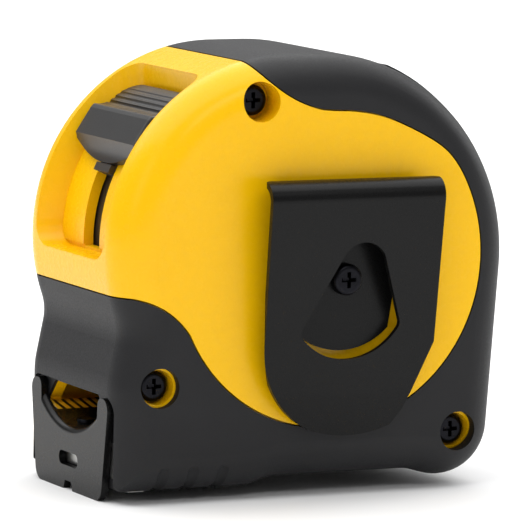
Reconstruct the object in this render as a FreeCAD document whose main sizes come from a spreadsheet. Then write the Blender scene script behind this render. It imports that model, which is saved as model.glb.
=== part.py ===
import FreeCAD, Part
import math
import os
import Sketcher

# Pocket tape measure: a two-half moulded case with a rubber overmould, a sprung drum of
# cupped steel tape, an end hook, a sliding lock button and a belt clip.
# Frame: +X to the rear, the tape leaves towards -X, +Z up, the belt clip on the -Y side.
# Origin: on the base panel under the drum axis, on the joint between the two case halves.

Vector = FreeCAD.Vector
doc = FreeCAD.newDocument("TapeMeasure")
sheet = doc.addObject("Spreadsheet::Sheet", "Sizes")

# Driving sizes, in millimetres and degrees.
driving = {
    # case outline
    "case_height": 71.1,
    "half_width": 21.0,
    "front_radius": 32.3,
    "front_centre": 8.3,
    "rear_radius": 34.5,
    "rear_centre": 2.2,
    "rear_lean": 4.0,
    "nose_reach": 39.9,
    "nose_top": 16.5,
    "waist_level": 26.0,
    "waist_round": 8.0,
    "edge_round": 6.5,
    "rear_corner": 9.0,
    "skin": 1.6,
    "wall": 2.0,
    "colour_gap": 0.25,
    # feet
    "foot_drop": 1.35,
    "front_foot_end": 15.2,
    "foot_slope": 4.6,
    "heel_start": 15.4,
    "heel_slope": 4.8,
    "foot_corner": 3.0,
    "foot_blend": 9.0,
    "flute_radius": 1.5,
    "flute_depth": 0.4,
    "flute_first": 21.0,
    "flute_pitch": 5.4,
    # drum
    "drum_level": 33.8,
    "drum_radius": 19.0,
    "drum_half": 12.6,
    "drum_wall": 1.5,
    "coil_radius": 27.4,
    "tape_width": 25.0,
    "tape_chord": 23.4,
    "tape_cup": 3.8,
    "tape_thickness": 0.3,
    "tape_level": 6.7,
    "post_radius": 3.5,
    "run_gap": 0.08,
    "washer_radius": 6.4,
    "washer_thickness": 0.5,
    "spring_thickness": 0.55,
    "spring_pitch": 1.1,
    "spring_half": 10.4,
    # lock
    "recess_floor": 28.0,
    "recess_half": 12.8,
    "recess_flare": 1.5,
    "recess_high": 116.6,
    "recess_low": 183.0,
    "recess_slope": 3.0,
    "recess_round": 4.2,
    "plate_rise": 0.3,
    "plate_half": 12.0,
    "floor_wall": 1.5,
    "button_half": 12.2,
    "button_low": 153.0,
    "button_high": 120.6,
    "ridge_angle": 136.8,
    "ridge_rise": 3.3,
    "rib_count": 5,
    "button_round": 4.0,
    "face_turn": 146.5,
    "face_rise": 2.9,
    "slot_half": 3.3,
    "stem_half": 3.0,
    "strip_thickness": 1.0,
    "strip_half": 6.5,
    "strip_low": 205.0,
    "slot_start": 138.0,
    "slot_end": 182.0,
    "strip_high": 118.0,
    "lock_travel": 22.0,
    "pad_gap": 0.4,
    # mouth and hook
    "mouth_half": 12.4,
    "mouth_low": 3.6,
    "mouth_high": 14.3,
    "mouth_chamfer": 3.4,
    "hook_thickness": 1.2,
    "hook_top": 14.3,
    "hook_drop": 3.1,
    "hook_half": 16.2,
    "hook_low_half": 13.6,
    "prong_width": 4.5,
    "hook_gap": 0.2,
    "hook_stand": 0.4,
    "tongue_length": 9.0,
    "tongue_half": 8.2,
    "tongue_thickness": 0.8,
    "rivet_radius": 0.9,
    "rivet_head": 1.6,
    "hook_play": 1.2,
    "lip_thickness": 0.9,
    "lip_half": 15.8,
    "lip_high": 4.6,
    "lip_length": 5.5,
    "lip_ear": 2.6,
    "lip_ear_high": 7.0,
    # fasteners
    "bore_radius": 2.95,
    "bore_depth": 4.8,
    "rubber_hole": 3.35,
    "head_radius": 2.65,
    "head_height": 1.9,
    "shank_radius": 1.3,
    "boss_radius": 4.2,
    "screw_length": 22.0,
    "front_screw_back": 32.9,
    "front_screw_level": 16.6,
    "top_screw_back": 15.3,
    "top_screw_level": 63.7,
    "rear_screw_along": 22.5,
    "rear_screw_level": 6.8,
    # belt clip
    "clip_half": 16.1,
    "clip_thickness": 1.0,
    "clip_top": 50.9,
    "clip_bottom": 7.2,
    "clip_bend": 3.2,
    "clip_stand_low": 2.9,
    "clip_stand_tip": 1.4,
    "clip_knee": 14.5,
    "clip_tongue_low": 21.6,
    "clip_head": 2.68,
    "clip_head_height": 1.7,
    "clip_shank": 1.45,
}

# Sizes that follow from the driving ones.
following = {
    "front_level": "=case_height - front_radius",
    "rear_level": "=case_height - rear_radius",
    "cavity_inset": "=skin + wall",
    "inner_half": "=half_width - skin - wall",
    "coil_half": "=tape_width / 2",
    "bore_in_drum": "=post_radius + run_gap",
    "drum_inner": "=drum_radius - drum_wall",
    "drum_floor": "=drum_half - drum_wall",
    "cover_radius": "=drum_radius - drum_wall - run_gap",
    "cover_low": "=drum_half - 1.2",
    "washer_start": "=drum_half + run_gap",
    "washer_end": "=drum_half + run_gap + washer_thickness",
    "hub_face": "=drum_half + 2 * run_gap + washer_thickness",
    "post_half": "=drum_half + washer_thickness + 2.2",
    "coil_inner": "=drum_radius + 0.02",
}

for row, (alias, value) in enumerate({**driving, **following}.items(), start=1):
    sheet.set(f"A{row}", alias)
    sheet.set(f"B{row}", str(value))
    sheet.setAlias(f"B{row}", alias)
doc.recompute()


def size(alias):
    """The value of a cell; a leading minus sign gives its negative."""
    if alias.startswith("-"):
        return -float(sheet.get(alias[1:]))
    return float(sheet.get(alias))


def cell(alias):
    """The same cell as an expression."""
    if alias.startswith("-"):
        return "-Sizes." + alias[1:]
    return "Sizes." + alias


# ---------------------------------------------------------------- helpers

def shaped(label, shape):
    """A sub-part whose shape is made with Part's own functions."""
    part = doc.addObject("Part::Feature", label)
    part.Label = label
    part.Shape = shape.removeSplitter()
    part.Placement = FreeCAD.Placement()
    return part


def origin_plane(body, role):
    return next(f for f in body.Origin.OriginFeatures if f.Role == role)


def new_body(label):
    body = doc.addObject("PartDesign::Body", label)
    body.Label = label
    return body


def polygon_sketch(body, role, points):
    """A closed outline whose corners are pairs of cell names."""
    sketch = body.newObject("Sketcher::SketchObject", body.Name + "_outline")
    sketch.AttachmentSupport = [(origin_plane(body, role), "")]
    sketch.MapMode = "FlatFace"
    flat = [Vector(size(u), size(v), 0) for u, v in points]
    count = len(flat)
    for i in range(count):
        sketch.addGeometry(Part.LineSegment(flat[i], flat[(i + 1) % count]), False)
    for i in range(count):
        sketch.addConstraint(Sketcher.Constraint("Coincident", i, 2, (i + 1) % count, 1))
    for i, (u, v) in enumerate(points):
        for kind, name in (("DistanceX", u), ("DistanceY", v)):
            n = sketch.addConstraint(Sketcher.Constraint(kind, -1, 1, i, 1, size(name)))
            sketch.setExpression(f"Constraints[{n}]", cell(name))
    return sketch


def circle_sketch(body, role, radius, offset_u=None, offset_v=None):
    """A circle whose radius and centre are cell names."""
    sketch = body.newObject("Sketcher::SketchObject", body.Name + "_" + radius)
    sketch.AttachmentSupport = [(origin_plane(body, role), "")]
    sketch.MapMode = "FlatFace"
    u = size(offset_u) if offset_u else 0.0
    v = size(offset_v) if offset_v else 0.0
    sketch.addGeometry(Part.Circle(Vector(u, v, 0), Vector(0, 0, 1), size(radius)), False)
    n = sketch.addConstraint(Sketcher.Constraint("Radius", 0, size(radius)))
    sketch.setExpression(f"Constraints[{n}]", cell(radius))
    for kind, name, value in (("DistanceX", offset_u, u), ("DistanceY", offset_v, v)):
        n = sketch.addConstraint(Sketcher.Constraint(kind, -1, 1, 0, 3, value))
        if name:
            sketch.setExpression(f"Constraints[{n}]", cell(name))
    return sketch


def turned(label, points, level="drum_level"):
    """A body of revolution about an axis along Y; the points are (radius, place along Y)."""
    body = new_body(label)
    sketch = polygon_sketch(body, "XY_Plane", points)
    turn = body.newObject("PartDesign::Revolution", label + "_turn")
    turn.Profile = sketch
    turn.ReferenceAxis = (sketch, ["V_Axis"])
    turn.Angle = 360
    body.setExpression("Placement.Base.z", cell(level))
    return body


def xz_face(edges):
    return Part.Face(Part.Wire(edges))


def point(x, z, y=0.0):
    return Vector(x, y, z)


def line(a, b):
    return Part.LineSegment(a, b).toShape()


def arc(a, middle, b):
    return Part.Arc(a, middle, b).toShape()


def polar(cx, cz, radius, degrees):
    angle = math.radians(degrees)
    return point(cx + radius * math.cos(angle), cz + radius * math.sin(angle))


def through(face, half):
    """A face in the XZ plane drawn out to plus and minus half along Y."""
    low = face.translated(Vector(0, -half, 0))
    return low.extrude(Vector(0, 2 * half, 0))


def block(x0, x1, y0, y1, z0, z1):
    return Part.makeBox(x1 - x0, y1 - y0, z1 - z0, Vector(x0, y0, z0))


def rod(x, z, radius, y0, y1):
    """A cylinder along Y."""
    return Part.makeCylinder(radius, y1 - y0, Vector(x, y0, z), Vector(0, 1, 0))


def along_y(shape, x, z):
    """The straight edges that run along Y at one place."""
    found = []
    for edge in shape.Edges:
        a, b = edge.Vertexes[0].Point, edge.Vertexes[-1].Point
        here = all(abs(p.x - x) < 0.01 and abs(p.z - z) < 0.01 for p in (a, b))
        if here and abs(a.y - b.y) > 1:
            found.append(edge)
    return found


def in_plane(shape, axis, value):
    """The edges that lie in a plane square to one axis."""
    found = []
    for edge in shape.Edges:
        box = edge.BoundBox
        low, high = {"x": (box.XMin, box.XMax), "y": (box.YMin, box.YMax), "z": (box.ZMin, box.ZMax)}[axis]
        if abs(low - value) < 0.01 and abs(high - value) < 0.01:
            found.append(edge)
    return found


def half_of(shape, side):
    """The part of a shape on one side of the joint plane: side is -1 or 1."""
    far = 80.0
    if side < 0:
        return shape.common(block(-far, far, -far, 0, -far, 2 * far))
    return shape.common(block(-far, far, 0, far, -far, 2 * far))


# ---------------------------------------------------------------- case

front_x, front_z = -size("front_centre"), size("front_level")
rear_x, rear_z = -size("rear_centre"), size("rear_level")
half = size("half_width")
screws = [
    (-size("front_screw_back"), size("front_screw_level"), half, size("bore_radius")),
    (-size("top_screw_back"), size("top_screw_level"), half - 0.7, size("rubber_hole")),
    (size("rear_screw_along"), size("rear_screw_level"), half, size("bore_radius")),
]


def rear_line_x(level, inset):
    """Where the leaning rear wall is at a given height."""
    lean = math.radians(-size("rear_lean"))
    radius = size("rear_radius") - inset
    start = polar(rear_x, rear_z, radius, -size("rear_lean"))
    return start.x + (start.z - level) * math.tan(lean)


def base_line(inset, footed):
    """The underside as seen from the side, front to rear; with feet it drops at both ends."""
    low = -size("foot_drop") if footed else inset
    front, rear = point(-size("nose_reach") + inset, low), point(rear_line_x(low, inset), low)
    if not footed:
        return [front, rear]
    toe_end, heel_start = -size("front_foot_end"), size("heel_start")
    return [front, point(toe_end, low), point(toe_end + size("foot_slope"), 0.0),
            point(heel_start, 0.0), point(heel_start + size("heel_slope"), low), rear]


def case_solid(inset, footed=False):
    """The case's rounded outside, or the same shape drawn in by an inset."""
    width = half - inset
    edge = max(size("edge_round") - inset, 1.0)
    front_r = size("front_radius") - inset
    rear_r = size("rear_radius") - inset
    waist = math.degrees(math.asin((front_z - size("waist_level")) / size("front_radius")))
    top_front = point(front_x, front_z + front_r)
    top_rear = point(rear_x, rear_z + rear_r)
    waist_point = polar(front_x, front_z, front_r, 180 + waist)
    nose_point = point(-size("nose_reach") + inset, size("nose_top"))
    lean_point = polar(rear_x, rear_z, rear_r, -size("rear_lean"))
    base = base_line(inset, footed)
    outline = xz_face([
        arc(top_front, polar(front_x, front_z, front_r, 140), waist_point),
        line(waist_point, nose_point),
        line(nose_point, base[0]),
        *[line(a, b) for a, b in zip(base, base[1:])],
        line(base[-1], lean_point),
        arc(lean_point, polar(rear_x, rear_z, rear_r, 45), top_rear),
        line(top_rear, top_front),
    ])
    solid = through(outline, width)
    rounds = [
        (waist_point, size("waist_round") + inset),
        (nose_point, 14.0),
        (base[0], edge + 0.7),
        (base[-1], size("rear_corner") - inset + 0.2),
    ]
    rounds += [(corner, size("foot_blend")) for corner in base[1:-1]]
    for corner, radius in rounds:
        solid = solid.makeFillet(radius, along_y(solid, corner.x, corner.z))
    sides = in_plane(solid, "y", width) + in_plane(solid, "y", -width)
    return solid.makeFillet(edge, sides)


def toe():
    """The tighter lower corner of the nose, rounded across and in plan like the case it joins."""
    nose, low, corner = -size("nose_reach"), -size("foot_drop"), size("foot_corner")
    edge, rear, high = size("edge_round"), -size("nose_reach") + 13.0, 12.0
    turn = polar(nose + corner, low + corner, corner, 225)
    outline = xz_face([
        line(point(nose, high), point(nose, low + corner)),
        arc(point(nose, low + corner), turn, point(nose + corner, low)),
        line(point(nose + corner, low), point(rear, low)),
        line(point(rear, low), point(nose, high)),
    ])
    across = block(nose - 5, rear + 5, -half, half, low, high)
    across = across.makeFillet(edge, [e for e in in_plane(across, "z", low) if e.BoundBox.XLength > 10])
    plan = block(nose, rear + 20, -half, half, low - 1, high + 1)
    upright = [e for e in in_plane(plan, "x", nose) if e.BoundBox.ZLength > 5]
    plan = plan.makeFillet(edge, upright)
    return through(outline, half).common(across).common(plan)


def flutes():
    """Three grooves that run across the front foot and up both of its rounded sides."""
    edge, low = size("edge_round"), -size("foot_drop")
    tube = size("flute_radius")
    reach = edge + tube - size("flute_depth")
    centre_y, centre_z, climb = half - edge, low + edge, 64
    cutters = []
    for i in range(3):
        x = -(size("flute_first") + i * size("flute_pitch"))
        cutters.append(rod(x, centre_z - reach, tube, -centre_y, centre_y))
        for side in (-1, 1):
            start = Vector(x, side * centre_y, centre_z - reach)
            ring = Part.Face(Part.Wire(Part.makeCircle(tube, start, Vector(0, 1, 0))))
            hub = Vector(x, side * centre_y, centre_z)
            cutters.append(ring.revolve(hub, Vector(side, 0, 0), climb))
            tip = start.sub(hub)
            tip = FreeCAD.Rotation(Vector(side, 0, 0), climb).multVec(tip).add(hub)
            cutters.append(Part.makeSphere(tube, tip))
    return cutters


# The yellow zone: a disc on each side that runs forward and up into the front and top.
disc_x, disc_z, disc_radius = -2.05, 36.9, 28.1


def colour_zone(grow):
    """The side view of the yellow zone, grown by a gap, as a prism."""
    radius = disc_radius + grow
    upper = polar(disc_x, disc_z, radius, 28)
    lower = polar(disc_x, disc_z, radius, 204.5)
    crest = point(-4.1, 62.1 + grow)
    seam = point(-17.0 + grow, 70.6 + grow)
    brow = point(-33.5, 30.3 - grow)
    chin = point(-37.5, 31.6 - grow)
    brow_line = Part.BSplineCurve()
    drawn_in = ((40, 0.35), (49, 1.3), (60, 2.2), (71, 2.65), (84, 3.05))
    along = [upper] + [polar(disc_x, disc_z, radius - inward, angle) for angle, inward in drawn_in] + [crest]
    brow_line.interpolate(along, InitialTangent=point(-0.47, 0.88), FinalTangent=point(-1.0, 0.1))
    outline = xz_face([
        brow_line.toShape(),
        arc(crest, point(-11.4, 65.2 + grow), seam),
        line(seam, point(-30.0, 85.0)),
        line(point(-30.0, 85.0), point(-60.0, 60.0)),
        line(point(-60.0, 60.0), point(-60.0, 32.4 - grow)),
        line(point(-60.0, 32.4 - grow), chin),
        arc(chin, brow, lower),
        arc(lower, polar(disc_x, disc_z, radius, 300), upper),
    ])
    return through(outline, 40.0)


def sector(inner, outer, low, high, half_deep):
    """A ring sector about the front arc's centre, angles in degrees."""
    middle = (low + high) / 2
    face = xz_face([
        arc(*(polar(front_x, front_z, outer, a) for a in (low, middle, high))),
        line(polar(front_x, front_z, outer, high), polar(front_x, front_z, inner, high)),
        arc(*(polar(front_x, front_z, inner, a) for a in (high, middle, low))),
        line(polar(front_x, front_z, inner, low), polar(front_x, front_z, outer, low)),
    ])
    return through(face, half_deep)


def recess():
    """The thumb recess: a trough round the front arc with flared walls and a sloping upper end."""
    floor, rim = size("recess_floor"), size("front_radius")
    top = rim + 3
    narrow = size("recess_half")
    wide = narrow + size("recess_flare") * (top - floor) / (rim - floor)
    low, high = size("recess_low"), size("recess_high")
    centre, axis = point(front_x, front_z), Vector(0, 1, 0)
    corners = [(floor, -narrow), (floor, narrow), (top, wide), (top, -wide), (floor, -narrow)]
    section = Part.Face(Part.makePolygon([point(front_x - radius, front_z, y) for radius, y in corners]))
    section.rotate(centre, axis, 180 - low)
    trough = section.revolve(centre, axis, low - high + 6)
    upper = polar(front_x, front_z, rim, high)
    foot = polar(front_x, front_z, floor, high + size("recess_slope"))
    climb = upper.sub(foot)
    aside = Vector(climb.z, 0, -climb.x)
    below, above = foot.sub(climb), upper.add(climb)
    wall = [below, above, above.add(aside * 3), below.add(aside * 3)]
    wall = Part.Face(Part.makePolygon(wall + wall[:1]))
    trough = trough.cut(through(wall, wide + 1))
    uprights = [e for e in trough.Edges if 0.4 < e.BoundBox.YLength < 4 and e.Length < 9]
    return trough.makeFillet(size("recess_round"), uprights)


def floor_plate():
    """The raised middle of the recess floor, with a narrow groove left round it."""
    floor = size("recess_floor")
    return sector(floor - 1, floor + size("plate_rise"), size("recess_high") + size("recess_slope") + 1.5,
                  size("recess_low") - 1.5, size("plate_half"))


def slot():
    """The narrow slot in the recess floor that the lock stem slides in."""
    return sector(size("recess_floor") - 8, size("recess_floor") + 2, size("slot_start"),
                  size("slot_end"), size("slot_half"))


def mouth():
    """The opening in the nose, with its upper corners cut off."""
    wide, low, high = size("mouth_half"), size("mouth_low"), size("mouth_high")
    cut = size("mouth_chamfer")
    outline = [(-wide, low), (wide, low), (wide, high - cut), (wide - cut, high),
               (cut - wide, high), (-wide, high - cut), (-wide, low)]
    face = Part.Face(Part.makePolygon([Vector(-60, y, z) for y, z in outline]))
    return face.extrude(Vector(60 - size("nose_reach") + size("cavity_inset") + 1, 0, 0))


hook_back = -size("nose_reach") - size("hook_stand") + size("hook_thickness")
seat_x = hook_back + size("hook_gap")


def hook_seat():
    """The shallow seat in the nose that the hook closes into."""
    side = size("hook_half") + 0.6
    high = size("hook_top") + 0.5
    seat = block(-60, seat_x, -side, side, -20, high)
    return seat.makeFillet(3.0, [e for e in in_plane(seat, "z", high) if e.BoundBox.XLength > 5])


def lip_solid(clearance):
    """The bent steel lip below the mouth: an upright leg, a corner and a leg under the nose."""
    thick, side = size("lip_thickness"), size("lip_half") + clearance
    low, high = -size("foot_drop") + 0.05 - clearance, size("lip_high") + clearance
    front = seat_x - 0.02 - clearance
    bend = size("foot_corner")
    inner = bend - thick - 2 * clearance
    back = front + thick + 2 * clearance
    rear = front + size("lip_length") + clearance
    top = low + thick + 2 * clearance
    face = xz_face([
        line(point(front, high), point(front, low + bend)),
        arc(point(front, low + bend), polar(front + bend, low + bend, bend, 225), point(front + bend, low)),
        line(point(front + bend, low), point(rear, low)),
        line(point(rear, low), point(rear, top)),
        line(point(rear, top), point(back + inner, top)),
        arc(point(back + inner, top), polar(back + inner, top + inner, inner, 225), point(back, top + inner)),
        line(point(back, top + inner), point(back, high)),
        line(point(back, high), point(front, high)),
    ])
    upright = through(face, side)
    ear_low, ear_high = high - 1.0, size("lip_ear_high") + clearance
    inner_side = size("lip_half") - size("lip_ear") - clearance
    ears = [block(front, back, -side, -inner_side, ear_low, ear_high),
            block(front, back, inner_side, side, ear_low, ear_high)]
    return upright.fuse(ears).removeSplitter()


print("case solids")
outer = case_solid(0.0, footed=True).fuse(toe())
under_skin = case_solid(size("skin"))
cavity = case_solid(size("cavity_inset"))
grip_band = case_solid(-0.35).common(sector(20, 60, 37.5, 57, 14.0))
zone = colour_zone(0.0)
rubber_edge = colour_zone(size("colour_gap"))
recess_cut = recess().cut(floor_plate())
slot_cut = slot()
mouth_cut = mouth()
seat_cut = hook_seat()
lip_side = size("lip_half") + 0.04
under_lip = block(seat_x - 0.1, seat_x + size("lip_length"), -lip_side, lip_side,
                  -5, -size("foot_drop") + 0.4)
lip_pocket = lip_solid(0.04).fuse(under_lip)

backing = sector(size("recess_floor") - size("floor_wall"), size("front_radius") + 2,
                 size("recess_high") - 5, size("recess_low") + 4,
                 size("recess_half") + size("recess_flare") + 2)
lip_backing = block(-60, seat_x + size("lip_thickness") + 2.4, -half, half, -5, size("mouth_low"))
bay = cavity.cut([backing, lip_backing])


def screw_bosses(side):
    """Columns for the case screws, from the side wall to the joint plane."""
    boss = size("boss_radius")
    if side < 0:
        return [rod(x, z, boss, -size("inner_half") - 1, 0) for x, z, *_ in screws]
    return [rod(x, z, boss, 0, size("inner_half") + 1) for x, z, *_ in screws]


def screw_holes(side):
    """Head bores and clearance holes on the clip side, thread holes on the other."""
    holes = []
    for x, z, face, bore in screws:
        seat = -face + size("bore_depth")
        if side < 0:
            holes.append(rod(x, z, bore, -half - 5, seat))
            holes.append(rod(x, z, size("shank_radius") + 0.15, seat - 1, 1))
        else:
            holes.append(rod(x, z, size("shank_radius"), -1, seat + size("screw_length") + 0.5))
    return holes


def hub_solids(side):
    """The round hub that holds one end of the centre post, and a ring that guides the tape."""
    level = size("drum_level")
    wall = side * (size("inner_half") + 1)
    face = side * size("hub_face")
    y0, y1 = min(wall, face), max(wall, face)
    hub = rod(0, level, size("washer_radius"), y0, y1)
    guide = size("coil_radius") - 1
    ring = rod(0, level, guide, y0, y1).cut(rod(0, level, guide - 1.2, y0, y1))
    return [hub, ring]


def shell(side):
    """One moulded case half: the yellow zone at full size, the rest sunk under the rubber."""
    body = outer.common(zone).fuse(under_skin)
    body = body.cut(bay)
    body = half_of(body, side)
    inside = [half_of(b.common(cavity), side) for b in screw_bosses(side) + hub_solids(side)]
    body = body.fuse(inside)
    post_end = size("post_half") + 0.1
    socket = rod(0, size("drum_level"), size("post_radius") + 0.02, -post_end, post_end)
    cuts = [recess_cut, slot_cut, mouth_cut, seat_cut, lip_pocket, socket] + screw_holes(side)
    if side < 0:
        cuts.append(rod(0, size("drum_level"), 1.75, -half - 5, 0))
    return body.cut(cuts)


def overmold(side):
    """The rubber skin on one case half."""
    body = outer.fuse(grip_band).cut(rubber_edge).cut(under_skin)
    body = body.cut([mouth_cut, seat_cut, lip_pocket] + flutes())
    body = half_of(body, side)
    if side < 0:
        body = body.cut([rod(x, z, size("rubber_hole"), -half - 5, 0) for x, z, *_ in screws])
    solids = sorted(body.Solids, key=lambda s: -s.Volume)
    return solids[0]


print("shells")
shaped("shell_clip_side", shell(-1))
shaped("shell_far_side", shell(1))
print("overmolds")
shaped("overmold_clip_side", overmold(-1))
shaped("overmold_far_side", overmold(1))

# ---------------------------------------------------------------- drum and spring
print("drum")
turned("drum", [
    ("bore_in_drum", "drum_half"), ("drum_radius", "drum_half"), ("drum_radius", "-drum_half"),
    ("drum_inner", "-drum_half"), ("drum_inner", "drum_floor"), ("bore_in_drum", "drum_floor"),
])
turned("drum_cover", [
    ("bore_in_drum", "-drum_half"), ("cover_radius", "-drum_half"),
    ("cover_radius", "-cover_low"), ("bore_in_drum", "-cover_low"),
])
turned("tape_coil", [
    ("coil_inner", "-coil_half"), ("coil_radius", "-coil_half"),
    ("coil_radius", "coil_half"), ("coil_inner", "coil_half"),
])


def thrust_washers():
    level = size("drum_level")
    rings = []
    for side in (-1, 1):
        a, b = side * size("washer_start"), side * size("washer_end")
        y0, y1 = min(a, b), max(a, b)
        ring = rod(0, level, size("washer_radius"), y0, y1)
        rings.append(ring.cut(rod(0, level, size("bore_in_drum"), y0, y1)))
    return Part.makeCompound(rings)


def power_spring():
    """A wound steel strip, drawn as half turns about two centres half a pitch apart."""
    level, pitch = size("drum_level"), size("spring_pitch")
    thick, start = size("spring_thickness"), size("post_radius") + 0.3
    turns = int((size("drum_inner") - 0.8 - start) / pitch) - 1

    def spiral(offset):
        edges = []
        for k in range(2 * turns):
            radius = start + offset + k * pitch / 2
            centre, heading = (0.0, 1) if k % 2 == 0 else (pitch / 2, -1)
            edges.append(arc(point(centre + heading * radius, level), point(centre, level + heading * radius),
                             point(centre - heading * radius, level)))
        return edges

    inner, outer_edges = spiral(0.0), spiral(thick)
    first = line(outer_edges[0].Vertexes[0].Point, inner[0].Vertexes[0].Point)
    last = line(inner[-1].Vertexes[-1].Point, outer_edges[-1].Vertexes[-1].Point)
    wire = Part.Wire(Part.__sortEdges__(inner + outer_edges + [first, last]))
    return through(Part.Face(wire), size("spring_half"))


shaped("drum_washers", thrust_washers())
shaped("power_spring", power_spring())


def centre_post():
    """The fixed post: round ends in the two hubs, and a slit that holds the spring's inner end."""
    body = new_body("centre_post")
    sketch = circle_sketch(body, "XZ_Plane", "post_radius")
    pad = body.newObject("PartDesign::Pad", "post_length")
    pad.Profile = sketch
    pad.Midplane = True
    pad.Length = 2 * size("post_half")
    pad.setExpression("Length", "2 * Sizes.post_half")
    thread = body.newObject("PartDesign::Pocket", "post_thread")
    thread.Profile = circle_sketch(body, "XZ_Plane", "clip_shank")
    thread.setExpression("Length", "Sizes.post_half + 1")
    thread.Reversed = True
    body.setExpression("Placement.Base.z", cell("drum_level"))
    return body


centre_post()

# ---------------------------------------------------------------- tape leader and hook
print("tape and hook")
tape_thick = size("tape_thickness")
tape_top = size("tape_level")
cup_radius = size("tape_chord") ** 2 / (8 * size("tape_cup")) + size("tape_cup") / 2
hook_front = hook_back - size("hook_thickness")


def cup_section(x, half_chord, sag, low):
    """A cupped strip's cross-section at one place along X; low is its top face's lowest level."""
    radius = half_chord ** 2 / (2 * sag) + sag / 2
    under = (radius + tape_thick) / radius

    def spot(y, z, scale):
        return Vector(x, y * scale, low + radius + (z - radius) * scale)

    a, middle, b = (-half_chord, sag), (0.0, 0.0), (half_chord, sag)
    inner_edge = arc(spot(*a, 1), spot(*middle, 1), spot(*b, 1))
    outer_edge = arc(spot(*b, under), spot(*middle, under), spot(*a, under))
    return Part.Wire([inner_edge, line(spot(*b, 1), spot(*b, under)), outer_edge,
                      line(spot(*a, under), spot(*a, 1))])


rivet_spots = [(hook_back + along, side * 2.9) for along in (3.4, 6.9) for side in (-1, 1)]


def tape_leader():
    """The tape between the drum and the hook: cupped at the mouth and flat where it leaves the drum."""
    chord, cup = size("tape_chord") / 2, size("tape_cup")
    flat_low = size("drum_level") - size("coil_radius") - 0.1
    wide = size("tape_width") / 2 - 0.2
    stations = [
        cup_section(hook_back + 0.6, chord, cup, tape_top),
        cup_section(-30.0, chord, cup, tape_top),
        cup_section(-8.0, (chord + wide) / 2, cup / 6, flat_low + 0.05),
        cup_section(0.0, wide, 0.02, flat_low - 0.02),
    ]
    pieces = [Part.makeLoft([a, b], True, True) for a, b in zip(stations, stations[1:])]
    strip = pieces[0].fuse(pieces[1:])
    hole = size("rivet_radius") + 0.1
    play = size("hook_play")
    for x, y in rivet_spots:
        for step in (0.0, play):
            strip = strip.cut(Part.makeCylinder(hole, 6, Vector(x - step, y, 4)))
        strip = strip.cut(block(x - play, x, y - hole, y + hole, 4, 10))
    return strip


def across_x(radius, x0, x1):
    """A cylinder along X on the centre line of the cupped tape."""
    return Part.makeCylinder(radius, x1 - x0, Vector(x0, 0, tape_top + cup_radius), Vector(1, 0, 0))


def end_hook():
    """The bent hook: a forked front plate and a tongue that lies on the tape."""
    top, low = size("hook_top"), -size("hook_drop")
    wide, narrow, prong = size("hook_half"), size("hook_low_half"), size("prong_width")
    thick = size("hook_thickness")
    tongue_under = cup_radius - 0.05
    tongue_top = tongue_under - size("tongue_thickness")

    def plate_edge(y, z):
        return Vector(hook_front, y, z)

    outline = [(-wide, top), (-narrow, low), (-1.9, low), (-1.3, low + 1.5), (1.3, low + 1.5),
               (1.9, low), (narrow, low), (wide, top), (-wide, top)]
    plate = Part.Face(Part.makePolygon([plate_edge(y, z) for y, z in outline]))
    plate = plate.extrude(Vector(thick, 0, 0))
    gap_top, gap_low = wide - prong, wide - prong - 0.9
    notch = [(-gap_top - 0.4, top + 5), (-gap_top, top - 4.5), (-gap_low, tape_top + 1.0),
             (-gap_low, tape_top - 2), (gap_low, tape_top - 2), (gap_low, tape_top + 1.0),
             (gap_top, top - 4.5), (gap_top + 0.4, top + 5)]
    notch = Part.Face(Part.makePolygon([plate_edge(y, z) for y, z in notch + notch[:1]]))
    notch = notch.extrude(Vector(thick, 0, 0)).common(across_x(tongue_top, hook_front - 2, hook_front + 10))
    plate = plate.cut(notch)
    corners = [(wide, top, 2.0), (gap_top + 0.15, top, 1.5), (narrow, low, 2.6), (gap_top, top - 4.5, 2.5)]
    for y, z, radius in corners:
        for side in (-1, 1):
            near = [e for e in plate.Edges if e.BoundBox.XLength > thick * 0.9 and
                    abs(e.BoundBox.YMin - side * y) < 0.6 and abs(e.BoundBox.ZMin - z) < 0.6]
            plate = plate.makeFillet(radius, near) if near else plate
    tongue = across_x(tongue_under, hook_front, hook_back + size("tongue_length"))
    tongue = tongue.cut(across_x(tongue_top, hook_front - 1, hook_back + size("tongue_length") + 1))
    tongue = tongue.common(block(-60, 0, -size("tongue_half"), size("tongue_half"), 0, tape_top + 3))
    hook = plate.fuse(tongue).removeSplitter()
    bend_level = tape_top + 0.05 + size("tongue_thickness")
    bend = [e for e in in_plane(hook, "x", hook_front)
            if abs(e.BoundBox.ZMin - bend_level) < 0.1 and e.BoundBox.YLength > 5]
    hook = hook.makeFillet(0.9 * thick, bend)
    slit = block(hook_front - 1, hook_back + 1, -3.9, 3.9, 0.95, 3.3)
    slit = slit.makeFillet(1.1, [e for e in slit.Edges if e.BoundBox.XLength > thick])
    hook = hook.cut(slit)
    for x, y in rivet_spots:
        hook = hook.cut(Part.makeCylinder(size("rivet_radius") + 0.02, 6, Vector(x, y, 3)))
    return hook


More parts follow.
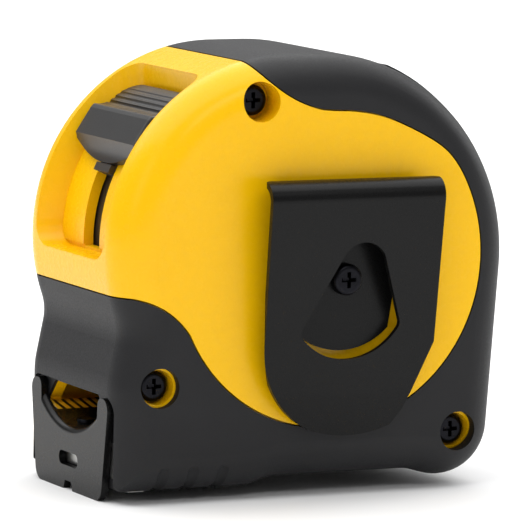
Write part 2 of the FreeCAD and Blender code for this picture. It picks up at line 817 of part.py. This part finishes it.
def hook_rivets():
    """Four rivets: a shank through the tongue and the tape's long holes, with a head at each end."""
    above_tongue = across_x(cup_radius - 0.05 - size("tongue_thickness") - 0.02, -60, 0)
    tape_body = across_x(cup_radius + tape_thick + 0.03, -60, 0)
    rivets = []
    for x, y in rivet_spots:
        rise = cup_radius - math.sqrt(cup_radius ** 2 - y ** 2)
        level = tape_top + rise
        shank = Part.makeCylinder(size("rivet_radius"), 2.2, Vector(x, y, level - 0.9))
        crown = Part.makeCylinder(size("rivet_head"), 1.4, Vector(x, y, level + 0.1)).common(above_tongue)
        foot = Part.makeCylinder(size("rivet_head") - 0.2, 1.0, Vector(x, y, level - 1.1)).cut(tape_body)
        rivets.append(shank.fuse([crown, foot]).removeSplitter())
    return Part.makeCompound(rivets)


shaped("tape_leader", tape_leader())
shaped("end_hook", end_hook())
shaped("hook_rivets", hook_rivets())
shaped("lip_plate", lip_solid(0.0))

# ---------------------------------------------------------------- lock
print("lock")
button_floor = size("recess_floor") + size("plate_rise") + 0.3
strip_outer = size("recess_floor") - size("floor_wall") - 0.35
strip_inner = strip_outer - size("strip_thickness")


def lock_button():
    """The thumb button: a ribbed back, a raised lip and a dished face that ends in a curve."""
    low, high, ridge = size("button_low"), size("button_high"), size("ridge_angle")
    rise, width, turn = size("ridge_rise"), size("button_half"), size("face_turn")

    def rim(degrees, height):
        return polar(front_x, front_z, button_floor + height, degrees)

    profile = xz_face([
        arc(rim(high, 0.0), rim((high + low) / 2, 0.0), rim(low, 0.0)),
        line(rim(low, 0.0), rim(low, 1.0)),
        arc(rim(low, 1.0), rim((low + turn) / 2, 1.5), rim(turn, size("face_rise"))),
        line(rim(turn, size("face_rise")), rim(ridge + 0.8, rise)),
        line(rim(ridge + 0.8, rise), rim(ridge - 0.8, rise)),
        arc(rim(ridge - 0.8, rise), rim(ridge - 3.2, 2.0), rim(ridge - 6.0, 1.5)),
        arc(rim(ridge - 6.0, 1.5), rim((ridge - 6.0 + high) / 2, 1.35), rim(high, 1.0)),
        line(rim(high, 1.0), rim(high, 0.0)),
    ])
    body = through(profile, width)
    back_corners = [e for e in in_plane(body, "y", width) + in_plane(body, "y", -width)
                    if e.Length < 1.2 and e.CenterOfMass.x > rim(turn, 0).x + 4]
    body = body.makeFillet(size("button_round"), back_corners)
    sides = in_plane(body, "y", width) + in_plane(body, "y", -width)
    upper = [e for e in sides if all(math.hypot(v.Point.x - front_x, v.Point.z - front_z) > button_floor + 0.9
                                     for v in e.Vertexes)]
    ridge_ends = (rim(ridge - 0.8, rise), rim(ridge + 0.8, rise))
    ridge_lines = [e for spot in ridge_ends for e in along_y(body, spot.x, spot.z)]
    body = body.makeFillet(0.5, upper + ridge_lines)
    sag = 3.0
    bow = (width ** 2 + sag ** 2) / (2 * sag)
    lowest, outward = rim(low, 0.0), rim(low, 1.0).sub(rim(low, 0.0))
    upward = Vector(-outward.z, 0, outward.x)
    upward = upward if upward.z > 0 else upward * -1
    disc = Part.makeCylinder(bow, 24, lowest.add(upward * (bow - 0.07)).sub(outward * 9), outward)
    body = body.common(disc)
    count = int(size("rib_count"))
    pitch = (ridge - 4.6 - high) / count
    for i in range(count):
        groove = rim(high + (i + 0.9) * pitch, 1.62)
        body = body.cut(rod(groove.x, groove.z, 0.42, -half, half))
    return body


def lock_slider():
    """The stem in the slot, the curved strip behind it and the brake end."""
    stem = sector(strip_inner + 0.3, button_floor - 0.02, size("slot_start") + 2, size("button_low") + 3,
                  size("stem_half"))
    step = sector(button_floor - 0.5, button_floor + 0.7, size("button_low") + 0.2, size("button_low") + 3,
                  size("stem_half"))
    strip = sector(strip_inner, strip_outer, size("strip_high"), size("strip_low"), size("strip_half"))
    return strip.fuse([stem, step])


def brake_pad():
    """A rubber pad on the strip's end; the strip's arc brings it close to the wound tape."""
    turned_to = math.radians(size("strip_low") + size("lock_travel"))
    offset_x, offset_z = -front_x, size("drum_level") - front_z
    ahead = offset_x * math.cos(turned_to) + offset_z * math.sin(turned_to)
    aside = offset_x * math.sin(turned_to) - offset_z * math.cos(turned_to)
    reach = ahead + math.sqrt(size("coil_radius") ** 2 - aside ** 2) + size("pad_gap")
    return sector(min(reach, strip_inner - 0.4), strip_inner - 0.02, size("strip_low") - 12,
                  size("strip_low"), size("strip_half") - 0.5)


shaped("lock_button", lock_button())
shaped("lock_slider", lock_slider())
shaped("brake_pad", brake_pad())

# ---------------------------------------------------------------- belt clip
print("clip and screws")


def belt_clip():
    """A bent spring-steel clip: a tongue screwed to the case, a round top bend and a long plate."""
    thick, bend = size("clip_thickness"), size("clip_bend")
    face = -half - 0.03
    top, low, knee = size("clip_top"), size("clip_bottom"), size("clip_knee")
    centre_y, centre_z = face - bend, top - bend
    knee_y = -half - size("clip_stand_low")
    tip_y = -half - size("clip_stand_tip")

    def spot(y, z):
        return Vector(-30, y, z)

    lean = math.atan2(centre_y - bend - knee_y, centre_z - knee)
    out_y, out_z = math.cos(lean), -math.sin(lean)

    def off_centre(radius):
        return spot(centre_y - radius * out_y, centre_z - radius * out_z)

    outside, inside = bend, bend - thick
    shape = [
        line(spot(face, size("clip_tongue_low")), spot(face, centre_z)),
        arc(spot(face, centre_z), spot(centre_y, top), off_centre(outside)),
        line(off_centre(outside), spot(knee_y, knee)),
        line(spot(knee_y, knee), spot(tip_y, low)),
        line(spot(tip_y, low), spot(tip_y + thick, low)),
        line(spot(tip_y + thick, low), spot(knee_y + thick, knee)),
        line(spot(knee_y + thick, knee), off_centre(inside)),
        arc(off_centre(inside), spot(centre_y, top - thick), spot(face - thick, centre_z)),
        line(spot(face - thick, centre_z), spot(face - thick, size("clip_tongue_low"))),
        line(spot(face - thick, size("clip_tongue_low")), spot(face, size("clip_tongue_low"))),
    ]
    sheet_metal = Part.Face(Part.Wire(shape)).extrude(Vector(60, 0, 0))
    wide = size("clip_half")
    def rim(x, z):
        return point(x * wide / 16.1, z + low - 7.2)

    trim = xz_face([
        line(point(-wide, top + 5), rim(-15.9, 23.0)),
        arc(rim(-15.9, 23.0), rim(-12.35, 13.2), rim(-6.2, 8.6)),
        arc(rim(-6.2, 8.6), rim(1.5, 7.4), rim(8.6, 8.9)),
        line(rim(8.6, 8.9), rim(10.6, 11.6)),
        line(rim(10.6, 11.6), rim(15.6, 23.0)),
        line(rim(15.6, 23.0), point(wide, top + 5)),
        line(point(wide, top + 5), point(-wide, top + 5)),
    ])
    trim = through(trim, 60)
    corners = [e for e in trim.Edges if e.BoundBox.YLength > 50
               and e.BoundBox.ZMin < rim(0, 12).z and e.BoundBox.XMin > 5]
    trim = trim.makeFillet(1.6, corners)
    narrow = 0.8 * wide
    plan = Part.makePolygon([Vector(x, y, -5) for x, y in (
        (-wide - 1, -60), (wide + 1, -60), (wide + 1, centre_y - 1.6), (wide - 0.7, centre_y), (narrow, face),
        (narrow, 0), (-narrow, 0), (-narrow, face), (0.7 - wide, centre_y), (-wide - 1, centre_y - 1.6),
        (-wide - 1, -60))])
    clip = sheet_metal.common(trim).common(Part.Face(plan).extrude(Vector(0, 0, 80)))
    plate_zone = block(-40, 40, -60, face - thick - 0.3, -5, top - bend - 2)
    tongue_zone = block(-40, 40, face - thick - 0.1, 0, -5, top - bend - 1)
    window = xz_face([
        line(point(-9.6, 25.2), point(-2.2, 38.2)),
        arc(point(-2.2, 38.2), point(1.8, 40.4), point(5.4, 38.0)),
        line(point(5.4, 38.0), point(9.0, 26.3)),
        arc(point(9.0, 26.3), point(-0.4, 20.6), point(-9.6, 25.2)),
    ])
    window = through(window, 60)
    low_corners = [e for e in window.Edges if e.BoundBox.YLength > 100 and e.BoundBox.ZMax < 30]
    window = window.makeFillet(1.5, low_corners)
    tongue = xz_face([
        line(point(-12.6, top), point(-9.2, 25.4)),
        arc(point(-9.2, 25.4), point(-0.4, 21.8), point(8.2, 25.4)),
        line(point(8.2, 25.4), point(12.2, top)),
        line(point(12.2, top), point(-12.6, top)),
    ])
    outside_tongue = tongue_zone.cut(through(tongue, 60))
    clip = clip.cut([window.common(plate_zone), outside_tongue])
    clip = clip.cut(rod(0, size("drum_level"), size("clip_shank") + 0.15, -half - 3, -half + 1))
    return max(clip.Solids, key=lambda s: s.Volume)


def driver_cross(x, z, top_y, deep):
    """A tapered cross recess that opens towards -Y."""
    bars = []
    signs = ((-1, -1), (1, -1), (1, 1), (-1, 1))
    for long_x, long_z in ((1.35, 0.34), (0.34, 1.35)):
        outer = [point(x + a * long_x, z + b * long_z, top_y - 0.01) for a, b in signs]
        inner = [point(x + a * 0.4 * long_x, z + b * 0.8 * long_z, top_y + deep)
                 for a, b in signs]
        bars.append(Part.makeLoft([Part.makePolygon(p + p[:1]) for p in (outer, inner)], True, True))
    return bars[0].fuse(bars[1])


def screw(x, z, seat, head, height, shank, length):
    """A pan-head screw whose head sits against the plane y = seat and whose shank runs towards +Y."""
    crown = rod(x, z, head, seat - height, seat)
    crown = crown.makeFillet(0.45 * height, in_plane(crown, "y", seat - height))
    return crown.fuse(rod(x, z, shank, seat - 0.1, seat + length)).cut(driver_cross(x, z, seat - height, 1.2))


def case_screws():
    return Part.makeCompound([
        screw(x, z, -face + size("bore_depth") - 0.01, size("head_radius"), size("head_height"),
              size("shank_radius") - 0.02, size("screw_length")) for x, z, face, _ in screws])


shaped("belt_clip", belt_clip())
shaped("clip_screw", screw(0, size("drum_level"), -half - size("clip_thickness") - 0.04, size("clip_head"),
                           size("clip_head_height"), size("clip_shank") - 0.02, 12.0))
shaped("case_screws", case_screws())

# ---------------------------------------------------------------- checks and export
doc.recompute()
nodes = [o for o in doc.Objects if o.TypeId in ("PartDesign::Body", "Part::Feature")]
os.makedirs("parts", exist_ok=True)
for node in nodes:
    for item in [node] + list(getattr(node, "Group", [])):
        if "Invalid" in item.State or "Error" in item.State:
            raise RuntimeError(f"{item.Label} did not recompute: {item.State}")
    if node.Shape.isNull() or not node.Shape.isValid():
        raise RuntimeError(f"{node.Label} has no valid shape")
    node.Shape.exportStep(f"parts/{node.Label}.step")
    box = node.Shape.optimalBoundingBox(False, False)
    print(f"{node.Label:16s} solids {len(node.Shape.Solids)} volume {node.Shape.Volume:9.1f} "
          f"x {box.XMin:6.1f} {box.XMax:6.1f} y {box.YMin:6.1f} {box.YMax:6.1f} "
          f"z {box.ZMin:6.1f} {box.ZMax:6.1f}")
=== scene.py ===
import math

import bmesh
import bpy
from mathutils import Matrix, Vector


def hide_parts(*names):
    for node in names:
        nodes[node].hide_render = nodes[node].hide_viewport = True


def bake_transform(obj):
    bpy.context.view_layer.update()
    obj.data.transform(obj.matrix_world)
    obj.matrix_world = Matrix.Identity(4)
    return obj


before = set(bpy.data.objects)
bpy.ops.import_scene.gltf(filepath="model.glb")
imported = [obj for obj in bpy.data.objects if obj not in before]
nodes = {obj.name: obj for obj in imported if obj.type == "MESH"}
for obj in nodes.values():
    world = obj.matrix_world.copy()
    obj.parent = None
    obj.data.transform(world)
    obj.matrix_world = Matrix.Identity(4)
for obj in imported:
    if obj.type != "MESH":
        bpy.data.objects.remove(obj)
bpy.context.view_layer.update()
mm = 0.001
print("frame loaded:", len(nodes), "parts")


def linear(hexColour):
    channels = [int(hexColour[i:i + 2], 16) / 255 for i in (1, 3, 5)]
    return tuple(c / 12.92 if c <= 0.04045 else ((c + 0.055) / 1.055) ** 2.4 for c in channels) + (1.0,)


def addNode(tree, kind, settings=None, inputs=None):
    node = tree.nodes.new(kind)
    for name, value in (settings or {}).items():
        setattr(node, name, value)
    for name, value in (inputs or {}).items():
        if isinstance(value, bpy.types.NodeSocket):
            tree.links.new(value, node.inputs[name])
        else:
            node.inputs[name].default_value = value
    return node


def newMaterial(name):
    material = bpy.data.materials.new(name)
    material.use_nodes = True
    tree = material.node_tree
    tree.nodes.clear()
    where = addNode(tree, "ShaderNodeTexCoord").outputs["Object"]
    return material, tree, where


def finishMaterial(tree, shader):
    addNode(tree, "ShaderNodeOutputMaterial", inputs={"Surface": shader.outputs["BSDF"]})


def plainFinish(name, look):
    # a base colour mottled over a few millimetres, and a fine grain in roughness and height
    material, tree, where = newMaterial(name)
    mottle = addNode(tree, "ShaderNodeTexNoise", inputs={
        "Vector": where, "Scale": 1 / (look["mottleMm"] * mm), "Detail": 3.0, "Roughness": 0.5})
    grain = addNode(tree, "ShaderNodeTexNoise", inputs={
        "Vector": where, "Scale": 1 / (look["grainMm"] * mm), "Detail": 2.0, "Roughness": 0.6})
    colour = addNode(tree, "ShaderNodeMix", {"data_type": "RGBA"}, {0: mottle.outputs["Fac"]})
    colour.inputs[6].default_value = linear(look["dark"])
    colour.inputs[7].default_value = linear(look["light"])
    rough = addNode(tree, "ShaderNodeMapRange", inputs={
        "Value": grain.outputs["Fac"], "From Min": 0.3, "From Max": 0.7,
        "To Min": look["roughness"][0], "To Max": look["roughness"][1]})
    bump = addNode(tree, "ShaderNodeBump", inputs={
        "Height": grain.outputs["Fac"], "Strength": look["bump"], "Distance": look["bumpMm"] * mm})
    shader = addNode(tree, "ShaderNodeBsdfPrincipled", inputs={
        "Base Color": colour.outputs[2], "Roughness": rough.outputs["Result"], "Normal": bump.outputs["Normal"],
        "Metallic": look.get("metallic", 0.0), "Coat Weight": look.get("coat", 0.0),
        "Coat Roughness": look.get("coatRoughness", 0.1), "Specular IOR Level": look.get("specular", 0.5)})
    if "ior" in look:
        shader.inputs["IOR"].default_value = look["ior"]
    finishMaterial(tree, shader)
    return material


finishes = {
    # gloss moulded ABS: a clean bright yellow with a tight highlight and the faint ripple of the mould
    "glossAbs": {"light": "#FFC706", "dark": "#FBC000", "mottleMm": 14, "grainMm": 1.6,
                 "roughness": (0.24, 0.3), "bump": 0.05, "bumpMm": 0.05, "ior": 1.53, "specular": 0.22},
    # thermoplastic rubber: near black, matt, with a fine eroded grain that catches light from above
    "rubberSkin": {"light": "#1D1D1F", "dark": "#141416", "mottleMm": 9, "grainMm": 0.28,
                   "roughness": (0.46, 0.6), "bump": 0.25, "bumpMm": 0.05, "ior": 1.5, "specular": 0.32},
    # satin black powder coat on spring steel
    "blackCoat": {"light": "#0F0F0F", "dark": "#0A0A0A", "mottleMm": 10, "grainMm": 0.2,
                  "roughness": (0.26, 0.32), "bump": 0.08, "bumpMm": 0.02, "ior": 1.5, "specular": 0.18},
    # satin black moulded ABS on the button
    "satinAbs": {"light": "#1E1D1D", "dark": "#171616", "mottleMm": 6, "grainMm": 0.25,
                 "roughness": (0.3, 0.4), "bump": 0.1, "bumpMm": 0.02, "ior": 1.53},
    # dark moulded nylon behind the slot
    "darkNylon": {"light": "#2E2925", "dark": "#241F1C", "mottleMm": 5, "grainMm": 0.3,
                  "roughness": (0.4, 0.5), "bump": 0.1, "bumpMm": 0.02, "ior": 1.53},
    # black oxide on steel screws: dark, slightly oily
    "blackOxide": {"light": "#26262A", "dark": "#161618", "mottleMm": 2, "grainMm": 0.15,
                   "roughness": (0.25, 0.38), "bump": 0.1, "bumpMm": 0.02, "metallic": 1.0},
    # bare rolled steel lip
    "rolledSteel": {"light": "#B9B9B6", "dark": "#A2A2A0", "mottleMm": 3, "grainMm": 0.2,
                    "roughness": (0.28, 0.42), "bump": 0.1, "bumpMm": 0.02, "metallic": 1.0},
    # plain moulded plastic inside
    "innerPlastic": {"light": "#B8B6AE", "dark": "#A9A79F", "mottleMm": 8, "grainMm": 0.4,
                     "roughness": (0.4, 0.5), "bump": 0.1, "bumpMm": 0.03, "ior": 1.5},
}
made = {name: plainFinish(name, look) for name, look in finishes.items()}


def tapeEnamel(look):
    # yellow enamel printed with slanted tick marks at a real spacing, long ones between short ones
    material, tree, where = newMaterial("tapeEnamel")
    split = addNode(tree, "ShaderNodeSeparateXYZ", inputs={0: where})
    x, y = split.outputs["X"], split.outputs["Y"]
    lean = addNode(
        tree, "ShaderNodeMath", {"operation": "MULTIPLY_ADD"}, {0: y, 1: look["lean"], 2: x}).outputs[0]

    def ticks(pitch, share, reach):
        along = addNode(tree, "ShaderNodeMath", {"operation": "DIVIDE"}, {0: lean, 1: pitch * mm}).outputs[0]
        phase = addNode(tree, "ShaderNodeMath", {"operation": "FRACT"}, {0: along}).outputs[0]
        dark = addNode(tree, "ShaderNodeMath", {"operation": "LESS_THAN"}, {0: phase, 1: share}).outputs[0]
        side = addNode(tree, "ShaderNodeMath", {"operation": "ABSOLUTE"}, {0: y}).outputs[0]
        inReach = addNode(
            tree, "ShaderNodeMath", {"operation": "GREATER_THAN"}, {0: side, 1: reach * mm}).outputs[0]
        return addNode(tree, "ShaderNodeMath", {"operation": "MULTIPLY"}, {0: dark, 1: inReach}).outputs[0]

    short = ticks(look["pitchMm"], look["share"], look["shortFrom"])
    long = ticks(look["pitchMm"] * look["longEvery"], look["share"] / look["longEvery"], look["longFrom"])
    ink = addNode(tree, "ShaderNodeMath", {"operation": "MAXIMUM"}, {0: short, 1: long}).outputs[0]
    colour = addNode(tree, "ShaderNodeMix", {"data_type": "RGBA"}, {0: ink})
    colour.inputs[6].default_value = linear(look["yellow"])
    colour.inputs[7].default_value = linear(look["black"])
    shader = addNode(tree, "ShaderNodeBsdfPrincipled", inputs={
        "Base Color": colour.outputs[2], "Roughness": look["roughness"],
        "Coat Weight": 0.3, "Coat Roughness": 0.2})
    finishMaterial(tree, shader)
    return material


enamel = {"yellow": "#E9BC2A", "black": "#15130C", "pitchMm": 1.6, "share": 0.42, "lean": 0.55,
          "longEvery": 5, "shortFrom": 5.0, "longFrom": 1.5, "roughness": 0.35}
made["tapeEnamel"] = tapeEnamel(enamel)

coats = {
    "shell_clip_side": "glossAbs", "shell_far_side": "glossAbs", "overmold_clip_side": "rubberSkin",
    "overmold_far_side": "rubberSkin", "drum": "innerPlastic", "drum_cover": "innerPlastic",
    "drum_washers": "innerPlastic", "tape_coil": "tapeEnamel", "tape_leader": "tapeEnamel",
    "power_spring": "rolledSteel", "centre_post": "rolledSteel", "end_hook": "blackCoat",
    "hook_rivets": "blackOxide", "lip_plate": "rolledSteel", "lock_button": "satinAbs",
    "lock_slider": "darkNylon", "brake_pad": "rubberSkin", "belt_clip": "blackCoat", "clip_screw": "blackOxide",
    "case_screws": "blackOxide"}
for name, finish in coats.items():
    mesh = nodes[name].data
    mesh.materials.clear()
    mesh.materials.append(made[finish])
print("finishes on the CAD parts")


pressedEdges = {"widths": {"end_hook": 0.22, "belt_clip": 0.2}, "segments": 2, "angle": 35, "flatWithin": 0.4}


def easeEdges(name, width, look):
    # flat facets joined first, so that the bevel meets only real edges
    node = nodes[name]
    joined = node.modifiers.new("joined", "DECIMATE")
    joined.decimate_type = "DISSOLVE"
    joined.angle_limit = math.radians(look["flatWithin"])
    bevel = node.modifiers.new("eased", "BEVEL")
    bevel.width = width * mm
    bevel.segments = look["segments"]
    bevel.limit_method = "ANGLE"
    bevel.angle_limit = math.radians(look["angle"])
    level = node.modifiers.new("level", "WEIGHTED_NORMAL")
    level.keep_sharp = True


for name, width in pressedEdges["widths"].items():
    easeEdges(name, width, pressedEdges)
print("eased edges on the pressed parts")

# the tape: one cupped strip from the drum to the hook, which pays out through the mouth
tape = {"level": 6.7, "cup": 3.8, "chord": 11.7, "thickness": 0.25, "hookEnd": -38.5, "drumLow": 6.35,
        "flatHalf": 12.25, "flatSag": 0.05, "cupFrom": -30.0, "cupOver": 24.0,
        "across": 24, "along": 90, "stretchFrom": -30.5, "stretchTo": -37.0}


def buildTape(look):
    # a grid laid along the tape, then cupped: deep at the mouth, flat where it leaves the coil
    bm = bmesh.new()
    bmesh.ops.create_grid(bm, x_segments=look["along"], y_segments=look["across"], size=0.5)
    for vert in bm.verts:
        x = look["hookEnd"] * (0.5 - vert.co.x)
        side = 2 * vert.co.y
        flat = min(max((x - look["cupFrom"]) / look["cupOver"], 0.0), 1.0)
        flat = flat * flat * (3 - 2 * flat)
        sag = look["cup"] * (1 - flat) + look["flatSag"] * flat
        half = look["chord"] * (1 - flat) + look["flatHalf"] * flat
        low = look["level"] * (1 - flat) + look["drumLow"] * flat
        vert.co = Vector((x, side * half, low + sag * side ** 2)) * mm
    bmesh.ops.solidify(bm, geom=bm.faces[:], thickness=look["thickness"] * mm)
    bmesh.ops.recalc_face_normals(bm, faces=bm.faces)
    mesh = bpy.data.meshes.new("tapeStrip")
    bm.to_mesh(mesh)
    bm.free()
    mesh.shade_smooth()
    strip = bpy.data.objects.new("tapeStrip", mesh)
    bpy.context.scene.collection.objects.link(strip)
    mesh.materials.append(made["tapeEnamel"])
    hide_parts("tape_leader")
    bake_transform(strip)


buildTape(tape)
print("tape strip")

# floor, light and camera
stageLook = {"floorZ": -3.1, "floorSize": 6.0, "floor": "#FAFAFA", "roughness": 0.9, "world": 0.3}


def buildStage(look):
    bm = bmesh.new()
    bmesh.ops.create_grid(bm, x_segments=1, y_segments=1, size=look["floorSize"])
    mesh = bpy.data.meshes.new("floor")
    bm.to_mesh(mesh)
    bm.free()
    floor = bpy.data.objects.new("floor", mesh)
    floor.location.z = look["floorZ"] * mm
    bpy.context.scene.collection.objects.link(floor)
    material, tree, _ = newMaterial("paleBackdrop")
    shader = addNode(tree, "ShaderNodeBsdfPrincipled", inputs={
        "Base Color": linear(look["floor"]), "Roughness": look["roughness"]})
    finishMaterial(tree, shader)
    mesh.materials.append(material)
    world = bpy.data.worlds.new("studio")
    world.use_nodes = True
    back = world.node_tree.nodes["Background"]
    back.inputs["Color"].default_value = (1.0, 1.0, 1.0, 1.0)
    back.inputs["Strength"].default_value = look["world"]
    bpy.context.scene.world = world


def addSoftbox(name, place, target, size, power):
    light = bpy.data.lights.new(name, "AREA")
    light.shape = "RECTANGLE"
    light.size, light.size_y = size
    light.energy = power
    lamp = bpy.data.objects.new(name, light)
    bpy.context.scene.collection.objects.link(lamp)
    lamp.location = Vector(place)
    lamp.rotation_euler = (Vector(target) - lamp.location).to_track_quat("-Z", "Y").to_euler()


buildStage(stageLook)
softboxes = {
    "ceiling": {"place": (0.0, 0.6, 2.2), "size": (4.5, 4.5), "power": 135.0},
    "keyLeft": {"place": (-0.9, -0.55, 0.5), "size": (0.35, 0.5), "power": 0.5},
    "faceHigh": {"place": (0.1, -1.1, 0.95), "size": (0.9, 0.3), "power": 2.6},
    "rimRight": {"place": (0.8, 0.25, 0.35), "size": (0.3, 0.5), "power": 1.6},
}
caseMiddle = (0, 0, 0.036)  # metres, where every softbox points
for name, box in softboxes.items():
    addSoftbox(name, box["place"], caseMiddle, box["size"], box["power"])
print("floor and lights")

cameraLook = {"azimuth": -25.6, "elevation": 7.04, "roll": 1.03, "distance": 936.15, "lens": 372.97,
              "centre": (-1.0, 0.0, 36.8), "right": 2.98, "up": 3.22, "sensor": 36.0, "clip": (0.01, 20.0)}


def placeCamera(look):
    azimuth, elevation, roll = (math.radians(look[key]) for key in ("azimuth", "elevation", "roll"))
    back = Vector((math.sin(azimuth) * math.cos(elevation), -math.cos(azimuth) * math.cos(elevation),
                   math.sin(elevation)))
    level = Vector((math.cos(azimuth), math.sin(azimuth), 0))
    upright = back.cross(level)
    right = math.cos(roll) * level + math.sin(roll) * upright
    up = math.cos(roll) * upright - math.sin(roll) * level
    data = bpy.data.cameras.new("studioCamera")
    data.lens = look["lens"]
    data.sensor_width = look["sensor"]
    data.sensor_fit = "HORIZONTAL"
    data.clip_start, data.clip_end = look["clip"]
    camera = bpy.data.objects.new("studioCamera", data)
    bpy.context.scene.collection.objects.link(camera)
    place = Vector(look["centre"]) + back * look["distance"] - right * look["right"] - up * look["up"]
    turn = Matrix((right, up, back)).transposed().to_4x4()
    camera.matrix_world = Matrix.Translation(place * mm) @ turn
    bpy.context.scene.camera = camera


placeCamera(cameraLook)
bpy.context.scene.view_settings.view_transform = "Standard"
